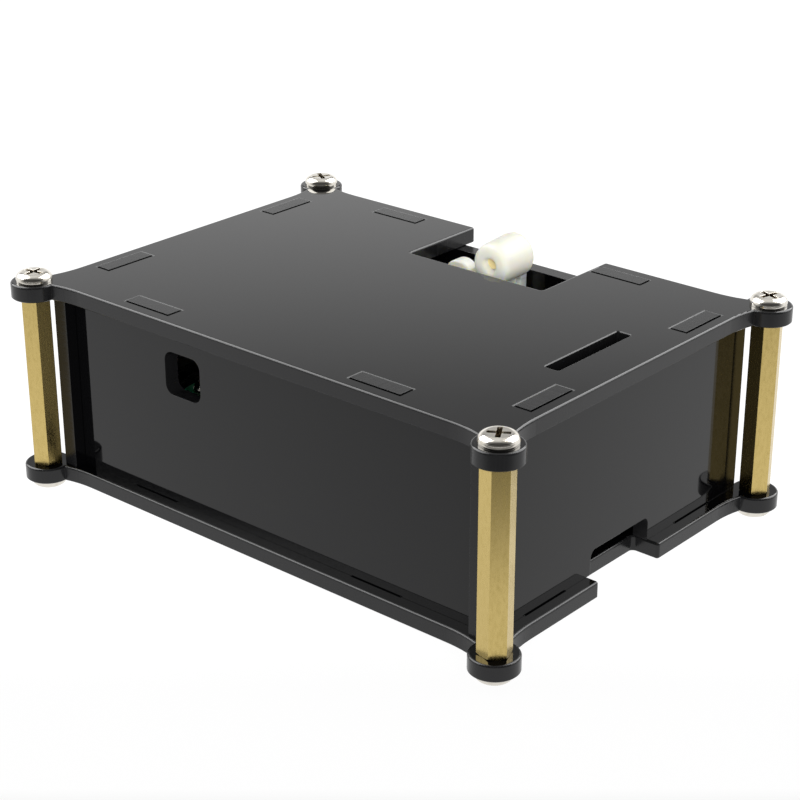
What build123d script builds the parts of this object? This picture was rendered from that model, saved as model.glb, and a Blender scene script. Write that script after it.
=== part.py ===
from build123d import *
from math import sqrt
import os

# A tabbed case of black acrylic sheet for a small computer board with a sound board stacked on it.
# Six flat sheets are held together by four hexagon posts and eight screws.
# The frame is in millimetres, x to the right, y to the back, z up from the surface the case stands on.

# Sheets
sheet = 2.7
edge_round = 0.4
slot_break = 0.15
slot_play = 0.22
wall_play = 0.1
side_wall_reach = 2.1

# Main board, which sets the inside of the case
board_length = 85.0
board_width = 56.0
board_sheet = 1.5
board_corner = 3.0
board_gap_x = 0.2
board_gap_y = 0.4
board_lift = 4.0

# Outline of the top and base plates
ledge_x = 2.2
ledge_y = 2.4
ear_radius = 3.9
ear_out_x = 0.9
ear_out_y = 1.0
neck_length = 9.5
neck_flare = 0.75

# Hexagon posts at the corners
post_height = 30.0
post_flats = 4.6
post_end_slope = 0.6
post_thread_depth = 10.0
thread_size = 3.0
thread_play = 0.1
plate_bore = 3.3

# Screws with domed cross heads: a head is its diameter, height, straight side and flat crown,
# a cross is its length, width and depth
case_head = (6.0, 1.5, 0.35, 3.75)
case_cross = (3.4, 0.8, 1.1)
cross_taper = 8.0
screw_length = 8.0
screw_end_break = 0.3

# Tabs that lock the walls in the plates and stand a little proud of them
tab_length = 9.6
tab_proud = 0.25
long_tab_pitch = 48.1
long_tab_shift = -0.9
short_tab_pitch = 39.0
short_tab_shift = 0.9

# Openings in the sheets
notch_width = 28.1
notch_depth = 17.6
notch_x = 3.5
notch_corner = 0.5
notch_mouth_round = 0.5
ribbon_slot_length = 18.7
ribbon_slot_width = 2.6
ribbon_slot_corner = 0.4
window_width = 7.9
window_height = 7.4
window_corner = 1.7
window_x = -17.5
window_rise = 22.8
card_arch_width = 15.2
card_arch_y = 0.25
card_arch_height = 4.1
card_arch_corner = 1.2
card_notch_width = 15.8
card_notch_y = -0.05
card_notch_corner = 0.7
card_mouth_round = 0.5
socket_gap = 0.4

# Fixing of the boards
small_thread = 2.5
small_bore = 2.8
small_head = (4.6, 1.3, 0.3, 2.6)
small_cross = (2.4, 0.6, 0.8)
board_screw_length = 12.0
stack_screw_length = 5.0
spacer_diameter = 5.0
stack_gap = 11.0
stack_post_flats = 4.5
stack_thread_depth = 4.5
hole_inset = 3.5
hole_room = 4.4

# Network socket: length along x, width, height, then its mouth and latch way
network_size = (21.3, 16.0, 13.5)
network_out = 2.2
network_from_back = 10.25
network_mouth = (11.8, 6.8)
network_mouth_rise = 4.4
network_latch = (6.2, 2.4)
network_mouth_depth = 12.5

# Double USB sockets: size, mouths and the tongues in them
usb_size = (17.6, 13.2, 15.6)
usb_out = 2.8
usb_from_front = 9.0
usb_mouth = (12.4, 5.6)
usb_mouth_pitch = 7.8
usb_mouth_depth = 11.0
usb_tongue = (9.5, 11.0, 1.9)
usb_tongue_rise = 1.0

# Video, power and audio sockets on the back edge: width along x, depth, height
video_size = (15.0, 11.5, 6.4)
video_out = 1.6
video_x = 10.5
video_mouth = (14.0, 4.8)
video_mouth_bevel = 1.4
video_mouth_depth = 8.5
video_tongue = (11.0, 7.5, 1.2)
power_size = (7.8, 5.6, 2.8)
power_out = 1.4
power_x = 31.9
power_mouth = (6.9, 1.9)
power_mouth_bevel = 0.6
power_mouth_depth = 4.6
audio_size = (7.0, 12.5, 6.0)
audio_barrel_diameter = 6.0
audio_barrel_out = 2.4
audio_bore = 3.5
audio_bore_depth = 13.0
audio_x = -11.0

# Header with its pins, and the socket of the sound board that sits on it
header_columns = 20
pin_spacing = 2.54
header_strip_height = 2.5
pin_width = 0.64
pin_hole_width = 0.94
pin_height = 9.0
pin_end_play = 0.3

# Chips
processor_size = (14.0, 14.0, 1.3)
processor_spot = (17.0, -4.5)
controller_size = (9.0, 9.0, 0.9)
controller_spot = (-15.0, -6.0)
chip_break = 0.25

# Ribbon sockets: width along x, length, height of the body, and the latch bar on top
ribbon_body = (3.2, 22.0, 3.4)
ribbon_latch = (1.5, 21.0, 1.1)
ribbon_way = (0.9, 16.5, 2.4)
ribbon_way_shift = 0.8
display_inset = 4.1
camera_inset = 45.0
camera_from_back = 11.5

# Memory card slot under the board: length along x, width, height
card_slot = (13.5, 14.0, 1.4)
card_mouth = (11.6, 0.9)
card_mouth_depth = 11.0

# Sound board and the parts on it
sound_sheet = 1.6
ribbon_cut_width = 17.5
ribbon_cut_depth = 6.5
ribbon_cut_corner = 1.0
converter_size = (5.4, 10.2, 1.75)
converter_spot = (6.0, 4.0)
converter_leads = 14
converter_lead_pitch = 0.65
converter_lead = (1.1, 0.95, 0.2, 0.3)
crystal_size = (7.0, 5.0, 1.3)
crystal_spots = [(-7.0, -3.0), (-7.0, 5.0)]
crystal_corner = 0.6
can_diameter = 6.3
can_height = 5.8
can_base_side = 6.6
can_base_height = 0.9
can_waist_rise = 1.6
can_waist_depth = 0.3
can_top_break = 0.4
can_spots = [(20.0, 2.0), (20.0, 10.5), (28.5, 2.0), (28.5, 10.5)]

# Cream moulded pieces that stand up through the notch
barrel_diameter = 7.6
barrel_length = 7.9
barrel_x = 3.4
barrel_back_gap = 0.5
barrel_rise = 2.7
barrel_round = 0.6
barrel_back_round = 0.4
contact_bore = 2.4
contact_bore_depth = 1.6
contact_play = 0.1
contact_thickness = 0.5
leg_flange = (4.4, 1.5)
leg_web = (2.0, 5.0)
foot_size = (8.0, 8.0, 2.4)
low_diameter = 6.0
low_depth = 2.4
low_x = -4.6
low_setback = 1.5
low_drop = 1.9
low_flat = 2.4
low_body = (4.8, 6.0)

# How far each post and each case screw happened to turn as it was driven home
post_turns = {"front_left": -8.0, "front_right": 18.8, "back_left": 5.0, "back_right": 20.8}
screw_turns = [8.0, 32.0, 58.0, 75.0]

# Heights and half sizes that follow from the sizes above
z_base = case_head[1]
z_floor = z_base + sheet
z_lid = z_floor + post_height
z_top = z_lid + sheet
z_board = z_floor + board_lift
z_board_top = z_board + board_sheet
z_sound = z_board_top + stack_gap
z_sound_top = z_sound + sound_sheet
board_right = board_length / 2
board_back = board_width / 2
inner_x = board_right + board_gap_x
inner_y = board_back + board_gap_y
outer_x = inner_x + sheet
outer_y = inner_y + sheet
plate_x = outer_x + ledge_x
plate_y = outer_y + ledge_y
ear_x = plate_x + ear_out_x
ear_y = plate_y + ear_out_y
tab_rise = sheet + tab_proud
front_half = inner_x - wall_play
side_half = outer_y + side_wall_reach
ribbon_x = board_right - display_inset
hole_y = board_back - hole_inset
hole_right = board_right - hole_inset
hole_left = network_size[0] - network_out - board_right + hole_room
header_x = (hole_left + hole_right) / 2
header_y = -hole_y
sound_length = hole_right - hole_left + 2 * hole_inset
network_y = board_back - network_from_back
usb_front_y = usb_from_front - board_back
usb_back_y = (network_y - network_size[1] / 2 + usb_front_y + usb_size[1] / 2) / 2
camera_y = board_back - camera_from_back
barrel_z = z_lid + barrel_rise
barrel_back_y = inner_y - barrel_back_gap
barrel_front_y = barrel_back_y - barrel_length
low_front_y = barrel_front_y + low_setback
low_z = z_lid - low_drop

ear_spots = {
    "front_left": (-ear_x, -ear_y),
    "front_right": (ear_x, -ear_y),
    "back_left": (-ear_x, ear_y),
    "back_right": (ear_x, ear_y),
}
board_spots = [(x, y) for x in (hole_right, hole_left) for y in (-hole_y, hole_y)]
long_tabs = [long_tab_shift + side * long_tab_pitch / 2 for side in (-1, 1)]
short_tabs = [short_tab_shift + side * short_tab_pitch / 2 for side in (-1, 1)]

os.makedirs("parts", exist_ok=True)


def save(piece, name):
    """Label one finished piece and write it to its own file."""
    piece.part.label = name
    export_step(piece.part, "parts/" + name + ".step")


# Plates

def plate_face():
    """A plate's face: edges flare out a little and run into a round ear at each corner."""
    with BuildSketch() as face:
        with BuildLine():
            flare_x = ear_x - neck_length
            flare_y = ear_y - neck_length
            long_edge = Line((0, plate_y), (flare_x, plate_y))
            long_neck = TangentArc(long_edge @ 1, (ear_x - ear_radius, plate_y + neck_flare), tangent=(1, 0))
            short_neck = TangentArc((plate_x, flare_y), (plate_x + neck_flare, ear_y - ear_radius), tangent=(0, 1))
            Polyline(long_neck @ 1, (ear_x, ear_y), short_neck @ 1)
            Polyline((plate_x, flare_y), (plate_x, 0), (0, 0), (0, plate_y))
        make_face()
        with Locations((ear_x, ear_y)):
            Circle(ear_radius)
        mirror(about=Plane.YZ)
        mirror(about=Plane.XZ)
        with Locations(*ear_spots.values()):
            Circle(plate_bore / 2, mode=Mode.SUBTRACT)
    return face.sketch


def tab_slots():
    """The slots that take the wall tabs, as one sketch."""
    long_side = tab_length + 2 * slot_play
    short_side = sheet + 2 * slot_play
    with BuildSketch() as slots:
        with Locations(*[(x, side * (inner_y + sheet / 2)) for x in long_tabs for side in (-1, 1)]):
            Rectangle(long_side, short_side)
        with Locations(*[(side * (inner_x + sheet / 2), y) for y in short_tabs for side in (-1, 1)]):
            Rectangle(short_side, long_side)
    return slots.sketch


def mouth_edges(plate, middle, half_width):
    """The two upright edges where a notch meets a plate's rim; middle is a point on the rim."""
    ends = (middle - half_width, middle + half_width)
    uprights = plate.edges().filter_by(Axis.Z)
    return uprights.filter_by(lambda edge: min((edge.center() - end).length for end in ends) < sheet)


def rim_edges(plate, side):
    """The outline edges of a plate on its upper face (side 1) or its lower face (side -1)."""
    face = plate.faces().filter_by(Axis.Z).sort_by(Axis.Z)[-1 if side > 0 else 0]
    return face.outer_wire().edges()


def slot_edges(plate, side):
    """The straight-sided inner edges of a plate on its upper or lower face."""
    face = plate.faces().filter_by(Axis.Z).sort_by(Axis.Z)[-1 if side > 0 else 0]
    edges = ShapeList()
    for wire in face.inner_wires():
        if len(wire.edges().filter_by(GeomType.LINE)) == 4:
            edges.extend(wire.edges())
    return edges


with BuildPart() as top_plate:
    with BuildSketch(Plane.XY.offset(z_lid)):
        add(plate_face())
        add(tab_slots(), mode=Mode.SUBTRACT)
        with Locations((notch_x, plate_y)):
            RectangleRounded(notch_width, 2 * notch_depth, notch_corner, mode=Mode.SUBTRACT)
        with Locations((ribbon_x, 0)):
            RectangleRounded(ribbon_slot_width, ribbon_slot_length, ribbon_slot_corner, mode=Mode.SUBTRACT)
    extrude(amount=sheet)
    notch_mouth = mouth_edges(top_plate, Vector(notch_x, plate_y, z_lid), Vector(notch_width / 2))
    fillet(notch_mouth, radius=notch_mouth_round)
    fillet(rim_edges(top_plate, 1), radius=edge_round)
    chamfer(rim_edges(top_plate, -1), length=slot_break)
    chamfer(slot_edges(top_plate, 1), length=slot_break)
save(top_plate, "top_plate")

with BuildPart() as base_plate:
    with BuildSketch(Plane.XY.offset(z_base)):
        add(plate_face())
        add(tab_slots(), mode=Mode.SUBTRACT)
        with Locations((plate_x, card_notch_y)):
            RectangleRounded(2 * (plate_x - inner_x), card_notch_width, card_notch_corner, mode=Mode.SUBTRACT)
        with Locations(*board_spots):
            Circle(small_bore / 2, mode=Mode.SUBTRACT)
    extrude(amount=sheet)
    card_mouth_edges = mouth_edges(base_plate, Vector(plate_x, card_notch_y, z_base), Vector(0, card_notch_width / 2))
    fillet(card_mouth_edges, radius=card_mouth_round)
    fillet(rim_edges(base_plate, 1), radius=edge_round)
    chamfer(rim_edges(base_plate, -1), length=slot_break)
    chamfer(slot_edges(base_plate, -1), length=slot_break)
save(base_plate, "base_plate")


# Walls: the side walls run past the front and back walls, which stand between them

def wall_face(length, tabs):
    """A wall's face standing on its lower edge, with its tabs above and below."""
    with BuildSketch() as face:
        with Locations((0, post_height / 2)):
            Rectangle(length, post_height)
        with Locations(*[(x, post_height / 2) for x in tabs]):
            Rectangle(tab_length, post_height + 2 * tab_rise)
    return face.sketch


front = Plane(origin=(0, -outer_y, z_floor), x_dir=(1, 0, 0), z_dir=(0, -1, 0))
back = Plane(origin=(0, outer_y, z_floor), x_dir=(-1, 0, 0), z_dir=(0, 1, 0))
right = Plane(origin=(outer_x, 0, z_floor), x_dir=(0, 1, 0), z_dir=(1, 0, 0))
left = Plane(origin=(-outer_x, 0, z_floor), x_dir=(0, -1, 0), z_dir=(-1, 0, 0))
board_rise = z_board_top - z_floor

with BuildPart() as front_wall:
    with BuildSketch(front):
        add(wall_face(2 * front_half, long_tabs))
        with Locations((window_x, window_rise)):
            RectangleRounded(window_width, window_height, window_corner, mode=Mode.SUBTRACT)
    extrude(amount=-sheet)
save(front_wall, "front_wall")

with BuildPart() as back_wall:
    with BuildSketch(back):
        add(wall_face(2 * front_half, [-x for x in long_tabs]))
        for x, size in ((power_x, power_size), (video_x, video_size)):
            with Locations((-x, board_rise + size[2] / 2)):
                wide = size[0] + 2 * socket_gap
                high = size[2] + 2 * socket_gap
                RectangleRounded(wide, high, socket_gap, mode=Mode.SUBTRACT)
        with Locations((-audio_x, board_rise + audio_size[2] / 2)):
            Circle(audio_barrel_diameter / 2 + socket_gap, mode=Mode.SUBTRACT)
    extrude(amount=-sheet)
save(back_wall, "back_wall")

with BuildPart() as right_wall:
    with BuildSketch(right):
        add(wall_face(2 * side_half, short_tabs))
        with Locations((card_arch_y, 0)):
            RectangleRounded(card_arch_width, 2 * card_arch_height, card_arch_corner, mode=Mode.SUBTRACT)
    extrude(amount=-sheet)
save(right_wall, "right_wall")

with BuildPart() as left_wall:
    with BuildSketch(left):
        add(wall_face(2 * side_half, [-y for y in short_tabs]))
        for y, size in ((network_y, network_size), (usb_front_y, usb_size), (usb_back_y, usb_size)):
            with Locations((-y, board_rise + size[2] / 2)):
                wide = size[1] + 2 * socket_gap
                high = size[2] + 2 * socket_gap
                RectangleRounded(wide, high, socket_gap, mode=Mode.SUBTRACT)
    extrude(amount=-sheet)
save(left_wall, "left_wall")


# Posts and screws

def hexagon_post(height, flats, thread, depth):
    """A hexagon bar standing on z = 0, with turned ends and a threaded bore in each end."""
    turned_rise = post_end_slope * flats / 2
    with BuildPart() as post:
        with BuildSketch():
            RegularPolygon(flats / sqrt(3), 6, rotation=30)
        extrude(amount=height)
        with BuildSketch(Plane.XZ):
            with BuildLine():
                Polyline(
                    (0, 0),
                    (flats / 2, 0),
                    (flats, turned_rise),
                    (flats, height - turned_rise),
                    (flats / 2, height),
                    (0, height),
                    close=True,
                )
            make_face()
        revolve(axis=Axis.Z, mode=Mode.INTERSECT)
        with BuildSketch(Plane.XY, Plane.XY.offset(height)):
            Circle((thread + thread_play) / 2)
        extrude(amount=depth, both=True, mode=Mode.SUBTRACT)
    return post.part


def cross_screw(head, thread, length, cross):
    """A screw with its head's seat on z = 0, the domed head above and the shank below."""
    diameter, height, side, flat = head
    with BuildPart() as screw:
        with BuildSketch(Plane.XZ):
            with BuildLine():
                dome = TangentArc((diameter / 2, side), (flat / 2, height), tangent=(0, 1))
                Polyline(dome @ 1, (0, height), (0, 0), (diameter / 2, 0), dome @ 0)
            make_face()
        revolve(axis=Axis.Z)
        with BuildSketch(Plane.XY.offset(height)):
            Rectangle(cross[0], cross[1])
            Rectangle(cross[1], cross[0])
        extrude(amount=-cross[2], taper=cross_taper, mode=Mode.SUBTRACT)
        with BuildSketch():
            Circle((thread - thread_play) / 2)
        extrude(amount=-length)
        chamfer(screw.faces().sort_by(Axis.Z)[0].edges(), length=screw_end_break)
    return screw.part


def screw_group(screw, spots, z, roll):
    """One screw for each spot, seated at height z, with its head up (roll 0) or down (roll 180)."""
    with BuildPart() as group:
        for (x, y), turn in zip(spots, screw_turns):
            with Locations(Location((x, y, z), (roll, 0, turn))):
                add(screw)
    return group


for corner_name, (x, y) in ear_spots.items():
    with BuildPart() as post:
        with Locations(Location((x, y, z_floor), (0, 0, post_turns[corner_name]))):
            add(hexagon_post(post_height, post_flats, thread_size, post_thread_depth))
    save(post, "post_" + corner_name)

case_screw = cross_screw(case_head, thread_size, screw_length, case_cross)
save(screw_group(case_screw, ear_spots.values(), z_top, 0), "top_screws")
save(screw_group(case_screw, ear_spots.values(), z_base, 180), "base_screws")

board_screw = cross_screw(small_head, small_thread, board_screw_length, small_cross)
save(screw_group(board_screw, board_spots, z_base, 180), "board_screws")

stack_screw = cross_screw(small_head, small_thread, stack_screw_length, small_cross)
save(screw_group(stack_screw, board_spots, z_sound_top, 0), "stack_screws")

with BuildPart() as board_spacers:
    with BuildSketch(Plane.XY.offset(z_floor)):
        with Locations(*board_spots):
            Circle(spacer_diameter / 2)
            Circle(small_bore / 2, mode=Mode.SUBTRACT)
    extrude(amount=board_lift)
save(board_spacers, "board_spacers")

with BuildPart() as stack_posts:
    with Locations(*[(x, y, z_board_top) for x, y in board_spots]):
        add(hexagon_post(stack_gap, stack_post_flats, small_thread, stack_thread_depth))
save(stack_posts, "stack_posts")


# Main board and what is soldered on it

with BuildPart() as main_board:
    with BuildSketch(Plane.XY.offset(z_board)):
        RectangleRounded(board_length, board_width, board_corner)
        with Locations(*board_spots):
            Circle(small_bore / 2, mode=Mode.SUBTRACT)
    extrude(amount=board_sheet)
save(main_board, "main_board")


def left_mouth(y, out):
    """The plane of a socket's mouth that stands out past the board's left edge."""
    return Plane(origin=(-board_right - out, y, z_board_top), x_dir=(0, -1, 0), z_dir=(-1, 0, 0))


def back_mouth(x, out):
    """The plane of a socket's mouth that stands out past the board's back edge."""
    return Plane(origin=(x, board_back + out, z_board_top), x_dir=(-1, 0, 0), z_dir=(0, 1, 0))


mouth = left_mouth(network_y, network_out)
with BuildPart() as network_socket:
    with BuildSketch(mouth):
        with Locations((0, network_size[2] / 2)):
            Rectangle(network_size[1], network_size[2])
    extrude(amount=-network_size[0])
    with BuildSketch(mouth):
        with Locations((0, network_mouth_rise)):
            Rectangle(*network_mouth, align=(Align.CENTER, Align.MIN))
            Rectangle(*network_latch, align=(Align.CENTER, Align.MAX))
    extrude(amount=-network_mouth_depth, mode=Mode.SUBTRACT)
save(network_socket, "network_socket")

for side, y in (("front", usb_front_y), ("back", usb_back_y)):
    mouth = left_mouth(y, usb_out)
    levels = [usb_size[2] / 2 + step * usb_mouth_pitch / 2 for step in (-1, 1)]
    with BuildPart() as shell:
        with BuildSketch(mouth):
            with Locations((0, usb_size[2] / 2)):
                Rectangle(usb_size[1], usb_size[2])
        extrude(amount=-usb_size[0])
        with BuildSketch(mouth):
            with Locations(*[(0, level) for level in levels]):
                Rectangle(*usb_mouth)
        extrude(amount=-usb_mouth_depth, mode=Mode.SUBTRACT)
    save(shell, "usb_shell_" + side)

    with BuildPart() as tongues:
        with BuildSketch(mouth.offset(-usb_mouth_depth)):
            with Locations(*[(0, level + usb_tongue_rise) for level in levels]):
                Rectangle(usb_tongue[0], usb_tongue[2])
        extrude(amount=usb_tongue[1])
    save(tongues, "usb_tongues_" + side)


def bevelled_mouth(width, height, bevel):
    """A socket's mouth with its two lower corners cut off, centred on the origin."""
    with BuildSketch() as opening:
        Rectangle(width, height)
        chamfer(opening.vertices().group_by(Axis.Y)[0], length=bevel)
    return opening.sketch


for name, size, out, x, opening, bevel, depth in (
    ("video_socket", video_size, video_out, video_x, video_mouth, video_mouth_bevel, video_mouth_depth),
    ("power_socket", power_size, power_out, power_x, power_mouth, power_mouth_bevel, power_mouth_depth),
):
    mouth = back_mouth(x, out)
    with BuildPart() as socket:
        with BuildSketch(mouth):
            with Locations((0, size[2] / 2)):
                Rectangle(size[0], size[2])
                add(bevelled_mouth(*opening, bevel), mode=Mode.SUBTRACT)
        extrude(amount=-depth)
        with BuildSketch(mouth.offset(-depth)):
            with Locations((0, size[2] / 2)):
                Rectangle(size[0], size[2])
        extrude(amount=depth - size[1])
    save(socket, name)

mouth = back_mouth(video_x, video_out)
with BuildPart() as video_tongue_piece:
    with BuildSketch(mouth.offset(-video_mouth_depth)):
        with Locations((0, video_size[2] / 2)):
            Rectangle(video_tongue[0], video_tongue[2])
    extrude(amount=video_tongue[1])
save(video_tongue_piece, "video_tongue")

mouth = back_mouth(audio_x, 0)
with BuildPart() as audio_socket:
    with BuildSketch(mouth):
        with Locations((0, audio_size[2] / 2)):
            Rectangle(audio_size[0], audio_size[2])
    extrude(amount=-audio_size[1])
    with BuildSketch(mouth):
        with Locations((0, audio_size[2] / 2)):
            Circle(audio_barrel_diameter / 2)
    extrude(amount=audio_barrel_out)
    with BuildSketch(mouth.offset(audio_barrel_out)):
        with Locations((0, audio_size[2] / 2)):
            Circle(audio_bore / 2)
    extrude(amount=-audio_bore_depth, mode=Mode.SUBTRACT)
save(audio_socket, "audio_socket")

socket_rise = z_board_top + header_strip_height

with BuildPart() as header_strip:
    with BuildSketch(Plane.XY.offset(z_board_top)):
        with Locations((header_x, header_y)):
            Rectangle(header_columns * pin_spacing, 2 * pin_spacing)
            with GridLocations(pin_spacing, pin_spacing, header_columns, 2):
                Rectangle(pin_width, pin_width, mode=Mode.SUBTRACT)
    extrude(amount=header_strip_height)
save(header_strip, "header_strip")

with BuildPart() as header_pins:
    with BuildSketch(Plane.XY.offset(z_board_top)):
        with Locations((header_x, header_y)):
            with GridLocations(pin_spacing, pin_spacing, header_columns, 2):
                Rectangle(pin_width, pin_width)
    extrude(amount=pin_height)
save(header_pins, "header_pins")

with BuildPart() as header_socket:
    with BuildSketch(Plane.XY.offset(socket_rise)):
        with Locations((header_x, header_y)):
            Rectangle(header_columns * pin_spacing, 2 * pin_spacing)
    extrude(amount=z_sound - socket_rise)
    with BuildSketch(Plane.XY.offset(socket_rise)):
        with Locations((header_x, header_y)):
            with GridLocations(pin_spacing, pin_spacing, header_columns, 2):
                Rectangle(pin_hole_width, pin_hole_width)
    extrude(amount=pin_height - header_strip_height + pin_end_play, mode=Mode.SUBTRACT)
save(header_socket, "header_socket")

for name, size, spot in (
    ("processor", processor_size, processor_spot),
    ("usb_controller", controller_size, controller_spot),
):
    with BuildPart() as chip:
        with Locations((*spot, z_board_top)):
            Box(*size, align=(Align.CENTER, Align.CENTER, Align.MIN))
        chamfer(chip.faces().sort_by(Axis.Z)[-1].edges(), length=chip_break)
    save(chip, name)

for name, x, y in (("display", ribbon_x, 0), ("camera", board_right - camera_inset, camera_y)):
    with BuildPart() as connector:
        with Locations((x, y, z_board_top)):
            Box(*ribbon_body, align=(Align.CENTER, Align.CENTER, Align.MIN))
        with Locations((x + ribbon_way_shift, y, z_board_top + ribbon_body[2])):
            Box(*ribbon_way, align=(Align.CENTER, Align.CENTER, Align.MAX), mode=Mode.SUBTRACT)
    save(connector, name + "_connector")

    with BuildPart() as latch:
        with Locations((x - ribbon_body[0] / 2, y, z_board_top + ribbon_body[2])):
            Box(*ribbon_latch, align=(Align.MIN, Align.CENTER, Align.MIN))
    save(latch, name + "_latch")

card_edge = Plane(origin=(board_right, 0, z_board), x_dir=(0, 1, 0), z_dir=(1, 0, 0))
with BuildPart() as card_slot_piece:
    with BuildSketch(card_edge):
        with Locations((0, -card_slot[2] / 2)):
            Rectangle(card_slot[1], card_slot[2])
    extrude(amount=-card_slot[0])
    with BuildSketch(card_edge):
        with Locations((0, -card_slot[2] / 2)):
            Rectangle(*card_mouth)
    extrude(amount=-card_mouth_depth, mode=Mode.SUBTRACT)
save(card_slot_piece, "card_slot")


# Sound board and what is soldered on it

with BuildPart() as sound_board:
    with BuildSketch(Plane.XY.offset(z_sound)):
        with Locations((header_x, 0)):
            RectangleRounded(sound_length, board_width, board_corner)
        with Locations(*board_spots):
            Circle(small_bore / 2, mode=Mode.SUBTRACT)
        with Locations((board_right, 0)):
            RectangleRounded(2 * ribbon_cut_depth, ribbon_cut_width, ribbon_cut_corner, mode=Mode.SUBTRACT)
    extrude(amount=sound_sheet)
save(sound_board, "sound_board")

with BuildPart() as converter_chip:
    with Locations((*converter_spot, z_sound_top)):
        Box(*converter_size, align=(Align.CENTER, Align.CENTER, Align.MIN))
    chamfer(converter_chip.faces().sort_by(Axis.Z)[-1].edges(), length=chip_break)
save(converter_chip, "converter_chip")


def bent_lead(reach, rise, thickness, width):
    """A chip's lead in side view: out from the body at x = 0, down, and out along the board."""
    bend = reach / 2
    with BuildPart() as lead:
        with BuildSketch(Plane.XZ):
            with BuildLine():
                Polyline(
                    (0, rise),
                    (bend, rise),
                    (bend, thickness),
                    (reach, thickness),
                    (reach, 0),
                    (bend - thickness, 0),
                    (bend - thickness, rise - thickness),
                    (0, rise - thickness),
                    close=True,
                )
            make_face()
        extrude(amount=width / 2, both=True)
    return lead.part


with BuildPart() as converter_leads_piece:
    lead = bent_lead(*converter_lead)
    for step in range(converter_leads):
        along = converter_spot[1] + (step - (converter_leads - 1) / 2) * converter_lead_pitch
        for side, turn in ((1, 0), (-1, 180)):
            root = converter_spot[0] + side * converter_size[0] / 2
            with Locations(Location((root, along, z_sound_top), (0, 0, turn))):
                add(lead)
save(converter_leads_piece, "converter_leads")

with BuildPart() as crystals:
    with BuildSketch(Plane.XY.offset(z_sound_top)):
        with Locations(*crystal_spots):
            RectangleRounded(crystal_size[0], crystal_size[1], crystal_corner)
    extrude(amount=crystal_size[2])
save(crystals, "crystals")

with BuildPart() as capacitor_bases:
    with BuildSketch(Plane.XY.offset(z_sound_top)):
        with Locations(*can_spots):
            Rectangle(can_base_side, can_base_side)
    extrude(amount=can_base_height)
save(capacitor_bases, "capacitor_bases")


def capacitor_can():
    """A can with a broken top edge and a rolled waist near its foot, standing on z = 0."""
    with BuildPart() as can:
        with BuildSketch(Plane.XZ):
            with BuildLine():
                Polyline(
                    (0, 0),
                    (can_diameter / 2, 0),
                    (can_diameter / 2, can_waist_rise - can_waist_depth),
                    (can_diameter / 2 - can_waist_depth, can_waist_rise),
                    (can_diameter / 2, can_waist_rise + can_waist_depth),
                    (can_diameter / 2, can_height),
                    (0, can_height),
                    close=True,
                )
            make_face()
        revolve(axis=Axis.Z)
        chamfer(can.faces().sort_by(Axis.Z)[-1].edges(), length=can_top_break)
    return can.part


with BuildPart() as capacitor_cans:
    with Locations(*[(x, y, z_sound_top + can_base_height) for x, y in can_spots]):
        add(capacitor_can())
save(capacitor_cans, "capacitor_cans")


# Cream moulded pieces

with BuildPart() as jack_tall:
    with BuildSketch(Plane.XZ.offset(-barrel_front_y)):
        with Locations((barrel_x, barrel_z)):
            Circle(barrel_diameter / 2)
    extrude(amount=-barrel_length)
    fillet(jack_tall.faces().sort_by(Axis.Y)[0].edges(), radius=barrel_round)
    fillet(jack_tall.faces().sort_by(Axis.Y)[-1].edges(), radius=barrel_back_round)
    with BuildSketch(Plane.XZ.offset(-barrel_front_y)):
        with Locations((barrel_x, barrel_z)):
            Circle(contact_bore / 2)
    extrude(amount=-contact_bore_depth, mode=Mode.SUBTRACT)
    with BuildSketch(Plane.XY.offset(z_sound_top)):
        with Locations((barrel_x, barrel_back_y - barrel_back_round)):
            Rectangle(*leg_flange, align=(Align.CENTER, Align.MAX))
            Rectangle(*leg_web, align=(Align.CENTER, Align.MAX))
    extrude(amount=barrel_z - z_sound_top)
    with Locations((barrel_x, barrel_back_y, z_sound_top)):
        Box(*foot_size, align=(Align.CENTER, Align.MAX, Align.MIN))
save(jack_tall, "jack_tall")

with BuildPart() as jack_contact:
    with BuildSketch(Plane.XZ.offset(-barrel_front_y - contact_bore_depth)):
        with Locations((barrel_x, barrel_z)):
            Circle(contact_bore / 2 - contact_play)
    extrude(amount=contact_thickness)
save(jack_contact, "jack_contact")

with BuildPart() as jack_low:
    with BuildSketch(Plane.XZ.offset(-low_front_y)):
        with Locations((low_x, low_z)):
            Circle(low_diameter / 2)
        with Locations((low_x + low_flat, low_z)):
            Rectangle(low_diameter, low_diameter, align=(Align.MIN, Align.CENTER), mode=Mode.SUBTRACT)
    extrude(amount=-low_depth)
    fillet(jack_low.faces().sort_by(Axis.Y)[0].edges(), radius=barrel_back_round)
    with BuildSketch(Plane.XY.offset(z_sound_top)):
        with Locations((low_x, low_front_y)):
            Rectangle(*low_body, align=(Align.CENTER, Align.MIN))
    extrude(amount=low_z - z_sound_top)
save(jack_low, "jack_low")
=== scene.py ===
import bpy
import bmesh
import math
from mathutils import Matrix, Vector


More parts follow.
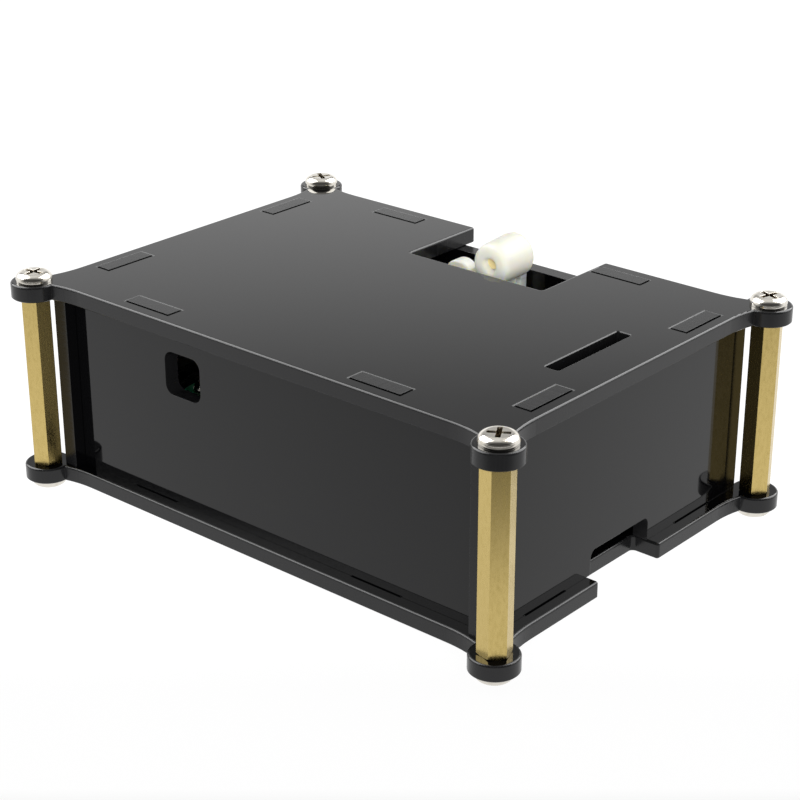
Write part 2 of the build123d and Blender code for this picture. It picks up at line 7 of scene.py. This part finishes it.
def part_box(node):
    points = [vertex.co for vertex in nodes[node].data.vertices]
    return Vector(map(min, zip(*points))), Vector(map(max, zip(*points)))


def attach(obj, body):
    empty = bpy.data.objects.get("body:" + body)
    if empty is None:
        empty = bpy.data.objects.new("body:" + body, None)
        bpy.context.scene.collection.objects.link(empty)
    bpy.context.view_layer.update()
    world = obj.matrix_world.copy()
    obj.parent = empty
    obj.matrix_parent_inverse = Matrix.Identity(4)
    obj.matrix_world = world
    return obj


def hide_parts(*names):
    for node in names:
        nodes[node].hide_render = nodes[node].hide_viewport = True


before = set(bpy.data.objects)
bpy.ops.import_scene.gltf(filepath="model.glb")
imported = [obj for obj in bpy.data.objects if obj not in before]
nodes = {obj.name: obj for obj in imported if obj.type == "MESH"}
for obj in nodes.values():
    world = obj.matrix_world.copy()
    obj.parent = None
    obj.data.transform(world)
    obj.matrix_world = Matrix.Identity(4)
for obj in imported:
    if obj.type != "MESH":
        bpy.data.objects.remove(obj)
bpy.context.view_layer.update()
mm = 0.001
print("frame loaded,", len(nodes), "nodes")


def addNode(tree, kind, inputs=None, **settings):
    node = tree.nodes.new(kind)
    for key, value in settings.items():
        setattr(node, key, value)
    for key, value in (inputs or {}).items():
        node.inputs[key].default_value = value
    return node


def newMaterial(name, color, roughness, metallic=0.0, ior=1.5):
    material = bpy.data.materials.new(name)
    material.use_nodes = True
    tree = material.node_tree
    shader = tree.nodes["Principled BSDF"]
    shader.inputs["Base Color"].default_value = (*color, 1.0)
    shader.inputs["Roughness"].default_value = roughness
    shader.inputs["Metallic"].default_value = metallic
    shader.inputs["IOR"].default_value = ior
    return material, tree, shader


def grain(tree, scale, stretch=(1, 1, 1), detail=3.0, roughness=0.5):
    place = addNode(tree, "ShaderNodeTexCoord")
    mapping = addNode(tree, "ShaderNodeMapping", {"Scale": stretch})
    noise = addNode(tree, "ShaderNodeTexNoise", {"Scale": scale, "Detail": detail, "Roughness": roughness})
    tree.links.new(place.outputs["Object"], mapping.inputs["Vector"])
    tree.links.new(mapping.outputs["Vector"], noise.inputs["Vector"])
    return noise.outputs["Fac"]


def spread(tree, value, low, high, fromLow=0.3, fromHigh=0.7):
    limits = {"From Min": fromLow, "From Max": fromHigh, "To Min": low, "To Max": high}
    node = addNode(tree, "ShaderNodeMapRange", limits)
    tree.links.new(value, node.inputs["Value"])
    return node.outputs["Result"]


# a roughness that wanders between two multiples of one value
def wander(tree, value, roughness, varies):
    least, most = varies
    return spread(tree, value, roughness * least, roughness * most)


# each color is three numbers or the output of another node
def blendColors(tree, factor, first, second):
    node = addNode(tree, "ShaderNodeMix", data_type="RGBA")
    tree.links.new(factor, node.inputs[0])
    for socket, color in ((node.inputs[6], first), (node.inputs[7], second)):
        if isinstance(color, tuple):
            socket.default_value = (*color, 1.0)
        else:
            tree.links.new(color, socket)
    return node.outputs[2]


def blendValues(tree, factor, first, second):
    node = addNode(tree, "ShaderNodeMix", data_type="FLOAT")
    tree.links.new(factor, node.inputs[0])
    tree.links.new(first, node.inputs[2])
    tree.links.new(second, node.inputs[3])
    return node.outputs[0]


def combine(tree, operation, first, second):
    node = addNode(tree, "ShaderNodeMath", operation=operation)
    tree.links.new(first, node.inputs[0])
    tree.links.new(second, node.inputs[1])
    return node.outputs[0]


# how far a point or a direction lies along an arrow
def along(tree, coordinates, arrow):
    place = addNode(tree, "ShaderNodeTexCoord")
    node = addNode(tree, "ShaderNodeVectorMath", {1: arrow}, operation="DOT_PRODUCT")
    tree.links.new(place.outputs[coordinates], node.inputs[0])
    return node.outputs["Value"]


# 1 where a surface is square to the axis, 0 where it runs along it
def squareTo(tree, axis):
    geometry = addNode(tree, "ShaderNodeNewGeometry")
    split = addNode(tree, "ShaderNodeSeparateXYZ")
    size = addNode(tree, "ShaderNodeMath", operation="ABSOLUTE")
    tree.links.new(geometry.outputs["True Normal"], split.inputs["Vector"])
    tree.links.new(split.outputs[axis.upper()], size.inputs[0])
    return size.outputs[0]


def bumpFrom(tree, height, distance, normal=None):
    bump = addNode(tree, "ShaderNodeBump", {"Strength": 1.0, "Distance": distance})
    tree.links.new(height, bump.inputs["Height"])
    if normal is not None:
        tree.links.new(normal, bump.inputs["Normal"])
    return bump.outputs["Normal"]


def softEdge(tree, radius):
    return addNode(tree, "ShaderNodeBevel", {"Radius": radius}, samples=6).outputs["Normal"]


def dress(material, *names):
    for name in names:
        for slot in nodes[name].material_slots:
            slot.material = material


# black cast sheet: polished on its two faces, grained by the laser on its cut edges
acrylicLook = {
    "face": (0.0016, 0.0016, 0.0019),
    "faceTilt": (0.85, 0.97),
    "faceRoughness": 0.035,
    "faceVaries": (1.0, 1.9),
    "cut": (0.008, 0.008, 0.0085),
    "cutRoughness": 0.20,
    "cutVaries": (0.7, 1.4),
    "ior": {"x": 1.335, "y": 1.365, "z": 1.365},  # the end walls mirror a little less
    "edge": 0.08 * mm,
    "grainScale": 2600.0,
    "grainHeight": 0.003 * mm,
    "dustScale": 900.0,
    "waveScale": 22.0,
    "waveHeight": 0.008 * mm,
}


def acrylicMaterial(name, axis):
    look = acrylicLook
    material, tree, shader = newMaterial(name, look["face"], look["faceRoughness"], ior=look["ior"][axis])
    through = [1.0, 1.0, 1.0]
    through["xyz".index(axis)] = 0.0  # the laser's lines run straight through the sheet
    isFace = spread(tree, squareTo(tree, axis), 0.0, 1.0, *look["faceTilt"])
    lines = grain(tree, look["grainScale"], through, detail=2.0)
    dust = grain(tree, look["dustScale"], detail=5.0, roughness=0.7)
    wave = grain(tree, look["waveScale"], detail=1.0)
    tree.links.new(blendColors(tree, isFace, look["cut"], look["face"]), shader.inputs["Base Color"])
    faceRoughness = wander(tree, dust, look["faceRoughness"], look["faceVaries"])
    cutRoughness = wander(tree, lines, look["cutRoughness"], look["cutVaries"])
    tree.links.new(blendValues(tree, isFace, cutRoughness, faceRoughness), shader.inputs["Roughness"])
    cutHeight = spread(tree, lines, 0.0, look["grainHeight"], 0.0, 1.0)
    faceHeight = spread(tree, wave, 0.0, look["waveHeight"], 0.0, 1.0)
    height = blendValues(tree, isFace, cutHeight, faceHeight)
    tree.links.new(bumpFrom(tree, height, 1.0, softEdge(tree, look["edge"])), shader.inputs["Normal"])
    return material


dress(acrylicMaterial("blackSheetFlat", "z"), "top_plate", "base_plate")
dress(acrylicMaterial("blackSheetLong", "y"), "front_wall", "back_wall")
dress(acrylicMaterial("blackSheetEnd", "x"), "left_wall", "right_wall")

# drawn brass bar: satin, with fine lengthwise lines and faint tarnish
brassLook = {
    "clean": (0.545, 0.415, 0.155),
    "tarnish": (0.49, 0.37, 0.125),
    "tarnishing": (0.45, 0.75),
    "roughness": 0.24,
    "varies": (0.8, 1.4),
    "speckleScale": 2200.0,
    "speckleStretch": (1, 1, 0.4),
    "speckleHeight": 0.010 * mm,
    "lineScale": 2400.0,
    "lineStretch": (1, 1, 0.03),
    "lineHeight": 0.006 * mm,
    "edge": 0.10 * mm,
}


def brassMaterial():
    look = brassLook
    material, tree, shader = newMaterial("satinBrass", look["clean"], look["roughness"], metallic=1.0)
    speckle = grain(tree, look["speckleScale"], look["speckleStretch"], detail=6.0, roughness=0.7)
    lines = grain(tree, look["lineScale"], look["lineStretch"], detail=2.0)
    tarnished = spread(tree, speckle, 0.0, 1.0, *look["tarnishing"])
    tree.links.new(blendColors(tree, tarnished, look["clean"], look["tarnish"]), shader.inputs["Base Color"])
    tree.links.new(wander(tree, speckle, look["roughness"], look["varies"]), shader.inputs["Roughness"])
    lined = bumpFrom(tree, lines, look["lineHeight"], softEdge(tree, look["edge"]))
    tree.links.new(bumpFrom(tree, speckle, look["speckleHeight"], lined), shader.inputs["Normal"])
    return material


dress(brassMaterial(), "post_front_left", "post_front_right", "post_back_left", "post_back_right",
      "stack_posts")

# nickel plated screws: bright, a little worn, with painted shade darkening them down in the cross
nickelLook = {
    "color": (0.68, 0.65, 0.59),
    "worn": (0.50, 0.46, 0.38),
    "wearing": (0.5, 0.75),
    "paintedCrossShade": (0.16, 0.125, 0.08),
    "opening": (0.35, 0.75),
    "reach": 0.9 * mm,
    "roughness": 0.10,
    "varies": (0.7, 1.8),
    "wearScale": 700.0,
    "wearHeight": 0.008 * mm,
    "edge": 0.08 * mm,
}


def nickelMaterial():
    look = nickelLook
    material, tree, shader = newMaterial("brightNickel", look["color"], look["roughness"], metallic=1.0)
    wear = grain(tree, look["wearScale"], detail=5.0, roughness=0.65)
    skin = blendColors(tree, spread(tree, wear, 0.0, 1.0, *look["wearing"]), look["color"], look["worn"])
    # painted shade: ambient occlusion darkens the colour towards a dark brown down in the cross
    reach = {"Distance": look["reach"]}
    openness = addNode(tree, "ShaderNodeAmbientOcclusion", reach, samples=6, only_local=True).outputs["AO"]
    unshadedShare = spread(tree, openness, 0.0, 1.0, *look["opening"])
    tree.links.new(blendColors(tree, unshadedShare, look["paintedCrossShade"], skin), shader.inputs["Base Color"])
    tree.links.new(wander(tree, wear, look["roughness"], look["varies"]), shader.inputs["Roughness"])
    worn = bumpFrom(tree, wear, look["wearHeight"], softEdge(tree, look["edge"]))
    tree.links.new(worn, shader.inputs["Normal"])
    return material


dress(nickelMaterial(), "top_screws", "base_screws", "board_screws", "stack_screws")

# cream moulded plastic, slightly see-through at its thin edges
creamLook = {
    "color": (0.94, 0.915, 0.80),
    "glow": 0.8,
    "glowRadius": (1.0, 0.8, 0.45),
    "depth": 2.0 * mm,
    "roughness": 0.45,
    "varies": (0.85, 1.2),
    "skinScale": 1500.0,
    "skinHeight": 0.008 * mm,
    "edge": 0.15 * mm,
}


def creamMaterial():
    look = creamLook
    material, tree, shader = newMaterial("creamPlastic", look["color"], look["roughness"], ior=1.46)
    shader.inputs["Subsurface Weight"].default_value = look["glow"]
    shader.inputs["Subsurface Radius"].default_value = look["glowRadius"]
    shader.inputs["Subsurface Scale"].default_value = look["depth"]
    skin = grain(tree, look["skinScale"], detail=4.0)
    tree.links.new(wander(tree, skin, look["roughness"], look["varies"]), shader.inputs["Roughness"])
    pitted = bumpFrom(tree, skin, look["skinHeight"], softEdge(tree, look["edge"]))
    tree.links.new(pitted, shader.inputs["Normal"])
    return material


dress(creamMaterial(), "jack_tall", "jack_low")

# finishes of the small parts, each with one color and a second that it drifts to
plainLooks = {
    "amberContact": {
        "color": (0.95, 0.80, 0.42), "second": (0.90, 0.72, 0.34), "roughness": 0.42,
        "scale": 1200.0, "height": 0.01 * mm},
    "goldContact": {
        "color": (0.83, 0.62, 0.24), "second": (0.74, 0.52, 0.18), "roughness": 0.22, "metallic": 1.0,
        "scale": 1500.0, "height": 0.004 * mm},
    "tinnedSteel": {
        "color": (0.60, 0.60, 0.59), "second": (0.50, 0.50, 0.49), "roughness": 0.27, "metallic": 1.0,
        "scale": 500.0, "stretch": (1, 0.2, 1), "height": 0.006 * mm},
    "blackNylon": {
        "color": (0.016, 0.016, 0.017), "second": (0.024, 0.024, 0.025), "roughness": 0.42,
        "scale": 1800.0, "height": 0.012 * mm},
    "chipEpoxy": {
        "color": (0.014, 0.014, 0.015), "second": (0.022, 0.022, 0.022), "roughness": 0.52,
        "scale": 3000.0, "height": 0.014 * mm},
    "paleNylon": {
        "color": (0.66, 0.62, 0.50), "second": (0.60, 0.56, 0.45), "roughness": 0.45,
        "scale": 1500.0, "height": 0.010 * mm},
    "whiteNylon": {
        "color": (0.80, 0.79, 0.74), "second": (0.74, 0.73, 0.68), "roughness": 0.42,
        "scale": 1500.0, "height": 0.010 * mm},
    "canAluminium": {
        "color": (0.78, 0.78, 0.79), "second": (0.70, 0.70, 0.71), "roughness": 0.24, "metallic": 1.0,
        "scale": 1400.0, "stretch": (1, 1, 0.05), "height": 0.005 * mm},
    "tinSolder": {
        "color": (0.64, 0.64, 0.64), "second": (0.52, 0.52, 0.53), "roughness": 0.30, "metallic": 1.0,
        "scale": 1600.0, "height": 0.02 * mm},
    "brownCeramic": {
        "color": (0.33, 0.23, 0.14), "second": (0.28, 0.19, 0.11), "roughness": 0.5,
        "scale": 2200.0, "height": 0.008 * mm},
}
plainSurface = {"drift": (0.4, 0.7), "varies": (0.8, 1.3), "edge": 0.08 * mm}


def plainMaterial(name, look):
    shared = plainSurface
    material, tree, shader = newMaterial(name, look["color"], look["roughness"], look.get("metallic", 0.0))
    fine = grain(tree, look["scale"], look.get("stretch", (1, 1, 1)), detail=4.0, roughness=0.6)
    drifted = spread(tree, fine, 0.0, 1.0, *shared["drift"])
    tree.links.new(blendColors(tree, drifted, look["color"], look["second"]), shader.inputs["Base Color"])
    tree.links.new(wander(tree, fine, look["roughness"], shared["varies"]), shader.inputs["Roughness"])
    pitted = bumpFrom(tree, fine, look["height"], softEdge(tree, shared["edge"]))
    tree.links.new(pitted, shader.inputs["Normal"])
    return material


finishes = {name: plainMaterial(name, look) for name, look in plainLooks.items()}
dress(finishes["amberContact"], "jack_contact")
dress(finishes["goldContact"], "header_pins")
dress(finishes["tinnedSteel"], "network_socket", "usb_shell_front", "usb_shell_back", "video_socket",
      "power_socket", "card_slot")
dress(finishes["blackNylon"], "audio_socket", "usb_tongues_front", "usb_tongues_back", "video_tongue",
      "header_strip", "header_socket", "display_latch", "camera_latch", "capacitor_bases")
dress(finishes["chipEpoxy"], "processor", "usb_controller", "converter_chip")
dress(finishes["paleNylon"], "display_connector", "camera_connector")
dress(finishes["whiteNylon"], "board_spacers")
dress(finishes["canAluminium"], "capacitor_cans", "crystals")
dress(finishes["tinSolder"], "converter_leads")

# circuit boards: dark green lacquer over raised copper tracks, bare glass fibre at the edges
boardLook = {
    "lacquer": (0.006, 0.052, 0.024),
    "copper": (0.012, 0.095, 0.040),
    "fibre": (0.42, 0.40, 0.22),
    "roughness": 0.28,
    "tracks": {"Scale": 620.0, "Mortar Size": 0.12, "Brick Width": 3.6, "Row Height": 0.9},
    "trackHeight": 0.03 * mm,
    "areaScale": 260.0,
    "areaEdge": (0.48, 0.52),  # the tracks fill some areas of a board and leave others plain
}


def boardMaterial():
    look = boardLook
    material, tree, shader = newMaterial("greenBoard", look["lacquer"], look["roughness"])
    place = addNode(tree, "ShaderNodeTexCoord")
    tracks = addNode(tree, "ShaderNodeTexBrick", look["tracks"])
    tree.links.new(place.outputs["Object"], tracks.inputs["Vector"])
    area = spread(tree, grain(tree, look["areaScale"], detail=1.0), 0.0, 1.0, *look["areaEdge"])
    runs = combine(tree, "MULTIPLY", tracks.outputs["Fac"], area)
    top = blendColors(tree, runs, look["lacquer"], look["copper"])
    skin = blendColors(tree, squareTo(tree, "z"), look["fibre"], top)
    tree.links.new(skin, shader.inputs["Base Color"])
    tree.links.new(bumpFrom(tree, runs, look["trackHeight"]), shader.inputs["Normal"])
    return material


dress(boardMaterial(), "main_board", "sound_board")
print("materials on the frame's nodes")


def newPiece(name, mesh, material):
    data = bpy.data.meshes.new(name)
    mesh.to_mesh(data)
    mesh.free()
    data.materials.append(material)
    piece = bpy.data.objects.new(name, data)
    bpy.context.scene.collection.objects.link(piece)
    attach(piece, "root")
    return piece


def addBlock(mesh, center, size, edge, tilt=0.0):
    made = bmesh.ops.create_cube(mesh, size=1.0)["verts"]
    bmesh.ops.scale(mesh, vec=Vector(size), verts=made)
    bmesh.ops.rotate(mesh, cent=Vector((0, 0, 0)), matrix=Matrix.Rotation(tilt, 3, "Y"), verts=made)
    bmesh.ops.translate(mesh, vec=Vector(center), verts=made)
    edges = list(dict.fromkeys(e for v in made for e in v.link_edges))
    bmesh.ops.bevel(mesh, geom=edges, offset=edge, affect="EDGES", segments=2, profile=0.5, material=-1)


copyMerge = 0.001 * mm


def copyNode(name):
    mesh = bmesh.new()
    mesh.from_mesh(nodes[name].data)
    bmesh.ops.remove_doubles(mesh, verts=mesh.verts, dist=copyMerge)
    return mesh


# takes away what lies above (way 1) or below (way -1) a height, and gives the faces that close the cut
def cutLevel(mesh, height, way):
    everything = mesh.verts[:] + mesh.edges[:] + mesh.faces[:]
    level = {"plane_co": (0, 0, height), "plane_no": (0, 0, way)}
    cut = bmesh.ops.bisect_plane(mesh, geom=everything, clear_outer=True, **level)
    rims = [e for e in cut["geom_cut"] if isinstance(e, bmesh.types.BMEdge)]
    return bmesh.ops.holes_fill(mesh, edges=rims, sides=0)["faces"]


# the walls again, with their tabs filed down to just past the plates
wallTrim = {"proud": 0.08 * mm}


def makeTrimmedWall(name, pieceName):
    mesh = copyNode(name)
    cutLevel(mesh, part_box("top_plate")[1].z + wallTrim["proud"], 1)
    cutLevel(mesh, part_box("base_plate")[0].z - wallTrim["proud"], -1)
    bmesh.ops.recalc_face_normals(mesh, faces=mesh.faces[:])
    piece = newPiece(pieceName, mesh, nodes[name].material_slots[0].material)
    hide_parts(name)


for side in ("front", "back", "left", "right"):
    makeTrimmedWall(side + "_wall", side + "WallTrimmed")

# the tall cream piece again: a barrel turned from one outline that swells toward the back, on the same foot
softBarrel = {
    # mm from the axis, and mm behind the front end, from the small recess round to the back
    "outline": [(0.0, 1.6), (1.2, 1.6), (1.2, 0.45), (1.28, 0.2), (1.45, 0.05), (1.7, 0.0), (2.6, 0.03),
                (3.15, 0.15), (3.48, 0.42), (3.65, 0.9), (3.70, 1.6), (3.72, 2.6), (3.74, 3.6), (3.77, 4.6),
                (3.785, 5.5), (3.79, 6.1), (3.79, 6.8), (3.74, 7.25), (3.55, 7.55), (3.2, 7.77), (2.5, 7.88),
                (0.0, 7.9)],
    "axis": (3.4 * mm, 36.9 * mm),
    "front": 20.0 * mm,
    "sag": 0.35 * mm,
    "sagLength": 6.0 * mm,
    "footDrop": 3.82 * mm,  # where the foot is cut, below the axis
    "overlap": 1.6 * mm,  # how far the foot then reaches up into the barrel
    "merge": 0.0005 * mm,
    "steps": 72,
}


def makeSoftBarrel():
    look = softBarrel
    middleX, middleZ = look["axis"]
    mesh = copyNode("jack_tall")
    top = cutLevel(mesh, middleZ - look["footDrop"], 1)
    raised = bmesh.ops.extrude_face_region(mesh, geom=top)["geom"]
    raised = [v for v in raised if isinstance(v, bmesh.types.BMVert)]
    bmesh.ops.translate(mesh, vec=Vector((0, 0, look["overlap"])), verts=raised)
    footFaces = set(mesh.faces)
    front = look["front"]
    points = [mesh.verts.new((middleX + r * mm, front + y * mm, middleZ)) for r, y in look["outline"]]
    lines = [mesh.edges.new(pair) for pair in zip(points, points[1:])]
    turn = {"cent": (middleX, 0, middleZ), "axis": (0, 1, 0), "dvec": (0, 0, 0), "angle": 2 * math.pi}
    bmesh.ops.spin(mesh, geom=points + lines, steps=look["steps"], use_merge=True, **turn)
    for vert in {v for face in mesh.faces if face not in footFaces for v in face.verts}:
        forward = 1.0 - (vert.co.y - front) / look["sagLength"]
        vert.co.z -= look["sag"] * max(0.0, forward)
    bmesh.ops.remove_doubles(mesh, verts=mesh.verts, dist=look["merge"])
    bmesh.ops.recalc_face_normals(mesh, faces=mesh.faces[:])
    for face in mesh.faces:
        face.smooth = face not in footFaces
    piece = newPiece("softBarrel", mesh, nodes["jack_tall"].material_slots[0].material)
    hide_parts("jack_tall")


makeSoftBarrel()
print("trimmed walls and soft barrel")

# spring wires in the network socket's mouth
networkWires = {
    "count": 8,
    "pitch": 1.02 * mm,
    "size": (7.5 * mm, 0.42 * mm, 0.28 * mm),
    "edge": 0.08 * mm,
    "tilt": 0.32,
    "inset": 2.0 * mm,
    "drop": 4.2 * mm,
}


def makeNetworkWires():
    look = networkWires
    low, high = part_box("network_socket")
    middle = (low.y + high.y) / 2
    mesh = bmesh.new()
    for step in range(look["count"]):
        across = middle + (step - (look["count"] - 1) / 2) * look["pitch"]
        center = (low.x + look["inset"] + look["size"][0] / 2, across, high.z - look["drop"])
        addBlock(mesh, center, look["size"], look["edge"], look["tilt"])
    newPiece("networkWires", mesh, finishes["goldContact"])


makeNetworkWires()

# contact strips along the USB tongues
usbStrips = {
    "count": 4,
    "pitch": 2.2 * mm,
    "size": (8.0 * mm, 1.0 * mm, 0.16 * mm),
    "edge": 0.05 * mm,
    "inset": 1.2 * mm,
    "tongue": 1.9 * mm,
}


def makeUsbStrips(side):
    look = usbStrips
    length, width, thick = look["size"]
    low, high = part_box("usb_tongues_" + side)
    middle = (low.y + high.y) / 2
    mesh = bmesh.new()
    for bottom in (low.z, high.z - look["tongue"]):
        for step in range(look["count"]):
            across = middle + (step - (look["count"] - 1) / 2) * look["pitch"]
            center = (low.x + look["inset"] + length / 2, across, bottom - thick / 2)
            addBlock(mesh, center, look["size"], look["edge"])
    newPiece("usbStrips_" + side, mesh, finishes["goldContact"])


makeUsbStrips("front")
makeUsbStrips("back")

# small surface parts on the sound board, in rows beside the converter and below the notch
smallParts = {
    "body": (1.6 * mm, 0.85 * mm, 0.5 * mm),
    "bodyEdge": 0.04 * mm,
    "end": 0.32 * mm,
    "endEdge": 0.06 * mm,
    "endWider": 0.04 * mm,
    "endTaller": 0.03 * mm,
    # first part's place in mm, number of parts, step along x in mm, turn of each part in degrees
    "rows": [
        ((-14.0, 13.5), 5, 2.6, 0),
        ((-1.5, 12.5), 6, 2.6, 0),
        ((11.0, 17.0), 4, -2.4, 90),
        ((-13.0, 19.5), 4, -2.2, 90),
        ((10.5, 22.0), 3, 2.6, 0),
    ],
}


def makeSmallParts():
    look = smallParts
    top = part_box("sound_board")[1].z
    bodies = bmesh.new()
    ends = bmesh.new()
    length, width, height = look["body"]
    bodySize = Vector((length - 2 * look["end"], width, height))
    endSize = Vector((look["end"], width + look["endWider"], height + look["endTaller"]))
    endShift = Vector(((length - look["end"]) / 2, 0, 0))
    for (x, y), count, step, turn in look["rows"]:
        turned = Matrix.Rotation(math.radians(turn), 3, "Z")
        for number in range(count):
            center = Vector(((x + step * number) * mm, y * mm, top + height / 2))
            addBlock(bodies, center, [abs(v) for v in turned @ bodySize], look["bodyEdge"])
            for way in (-1, 1):
                place = center + turned @ endShift * way
                addBlock(ends, place, [abs(v) for v in turned @ endSize], look["endEdge"])
    newPiece("smallPartBodies", bodies, finishes["brownCeramic"])
    newPiece("smallPartEnds", ends, finishes["tinSolder"])


makeSmallParts()
print("small pieces on the boards")

# pale glowing floor, seen only from above: its glow is lowered in front of the case as a painted shadow, and
# gets bright again farther out
floorLook = {
    "size": 12.0,
    "color": (0.05, 0.05, 0.05),
    "roughness": 0.9,
    "glow": 1.08,
    "toward": (0.655, -0.756, 0.0),
    # painted shadow on the floor: a gentle dip right in front of the case, then a deep one toward the camera
    # that fades out again
    "soft": (0.0, 0.06, 0.88),  # start, end and the share of the glow that is left
    "steepPaintedShade": (0.085, 0.125, 0.20),
    "again": (0.25, 0.8),
}


def makeFloor():
    look = floorLook
    mesh = bmesh.new()
    bmesh.ops.create_grid(mesh, x_segments=4, y_segments=4, size=look["size"] / 2)
    data = bpy.data.meshes.new("floor")
    mesh.to_mesh(data)
    mesh.free()
    material, tree, shader = newMaterial("paleFloor", look["color"], look["roughness"])
    shader.inputs["Emission Color"].default_value = (1, 1, 1, 1)
    shader.inputs["Specular IOR Level"].default_value = 0.0
    near = along(tree, "Object", look["toward"])
    # painted shadow: the glow is multiplied by a soft and a steep dip in front of the case
    softStart, softEnd, softLow = look["soft"]
    steepStart, steepEnd, steepLow = look["steepPaintedShade"]
    steepPaintedShade = spread(tree, near, 1.0, steepLow, steepStart, steepEnd)
    paintedShadowDip = combine(tree, "MAXIMUM", steepPaintedShade, spread(tree, near, 0.0, 1.0, *look["again"]))
    soft = spread(tree, near, look["glow"], look["glow"] * softLow, softStart, softEnd)
    tree.links.new(combine(tree, "MULTIPLY", soft, paintedShadowDip), shader.inputs["Emission Strength"])
    geometry = addNode(tree, "ShaderNodeNewGeometry")
    clear = addNode(tree, "ShaderNodeBsdfTransparent")
    oneSided = addNode(tree, "ShaderNodeMixShader")
    tree.links.new(geometry.outputs["Backfacing"], oneSided.inputs[0])
    tree.links.new(shader.outputs[0], oneSided.inputs[1])
    tree.links.new(clear.outputs[0], oneSided.inputs[2])
    tree.links.new(oneSided.outputs[0], tree.nodes["Material Output"].inputs["Surface"])
    data.materials.append(material)
    floor = bpy.data.objects.new("floor", data)
    bpy.context.scene.collection.objects.link(floor)


makeFloor()

# a room that is bright low down, dim at the height that the plates mirror, and darkest behind the camera
roomLook = {
    # how steeply a direction rises, from 0 (level) to 1 (straight up), and the light from there
    "rise": [(0.25, 1.26), (0.305, 1.08), (0.347, 0.88), (0.40, 0.55), (0.50, 0.44), (0.56, 0.47),
             (0.66, 0.90)],
    "behindCamera": (0.655, -0.756, 0.0),
    "shade": 0.10,
    "shadeRange": (0.0, 0.55),
}


def makeRoom():
    look = roomLook
    world = bpy.data.worlds.new("studio")
    bpy.context.scene.world = world
    world.use_nodes = True
    tree = world.node_tree
    background = tree.nodes["Background"]
    ramp = addNode(tree, "ShaderNodeValToRGB")
    stops = ramp.color_ramp.elements
    while len(stops) < len(look["rise"]):
        stops.new(0.5)
    for stop, (rise, light) in zip(stops, look["rise"]):
        stop.position = rise
        stop.color = (light, light, light, 1.0)
    tree.links.new(along(tree, "Generated", (0, 0, 1)), ramp.inputs["Fac"])
    behind = along(tree, "Generated", look["behindCamera"])
    shade = spread(tree, behind, 1.0, look["shade"], *look["shadeRange"])
    tree.links.new(ramp.outputs["Color"], background.inputs["Color"])
    tree.links.new(shade, background.inputs["Strength"])


# two reflector cards that only glossy surfaces see, and a front fill that only matt ones see
lampLooks = {
    "leftBox": {"toward": (-0.68, -0.24, 0.69), "far": 1.2, "size": (1.2, 1.05), "turn": 30, "watts": 27.0,
                "hidden": "visible_diffuse"},
    "backBox": {"toward": (0.28, 0.69, 0.67), "far": 1.2, "size": (1.2, 1.05), "turn": -30, "watts": 26.0,
                "hidden": "visible_diffuse"},
    "frontFill": {"toward": (0.60, -0.69, 0.40), "far": 1.2, "size": (0.8, 0.8), "turn": 0, "watts": 13.5,
                  "hidden": "visible_glossy"},
}


def makeLamp(name, look):
    data = bpy.data.lights.new(name, "AREA")
    data.shape = "RECTANGLE"
    data.size, data.size_y = look["size"]
    data.energy = look["watts"]
    light = bpy.data.objects.new(name, data)
    toward = Vector(look["toward"])
    light.location = toward * look["far"]
    facing = (-toward).to_track_quat("-Z", "Y").to_matrix()
    light.rotation_euler = (facing @ Matrix.Rotation(math.radians(look["turn"]), 3, "Z")).to_euler()
    setattr(light, look["hidden"], False)
    bpy.context.scene.collection.objects.link(light)


makeRoom()
for lampName, lampLook in lampLooks.items():
    makeLamp(lampName, lampLook)

# the photograph's viewpoint
cameraLook = {
    "lens": 89.62,
    "sensor": 36.0,
    "clipStart": 0.01,
    "place": (0.19807, -0.22711, 0.14975),
    "right": (0.755586, 0.655048, -0.001286),
    "up": (-0.261852, 0.303841, 0.916031),
    "back": (0.600436, -0.691804, 0.401104),
}


def makeCamera():
    look = cameraLook
    data = bpy.data.cameras.new("photoCamera")
    data.lens = look["lens"]
    data.sensor_width = look["sensor"]
    data.clip_start = look["clipStart"]
    camera = bpy.data.objects.new("photoCamera", data)
    turned = Matrix((look["right"], look["up"], look["back"])).transposed().to_4x4()
    camera.matrix_world = Matrix.Translation(look["place"]) @ turned
    bpy.context.scene.collection.objects.link(camera)
    bpy.context.scene.camera = camera


makeCamera()
bpy.context.scene.view_settings.view_transform = "Standard"
print("floor, lights and camera")
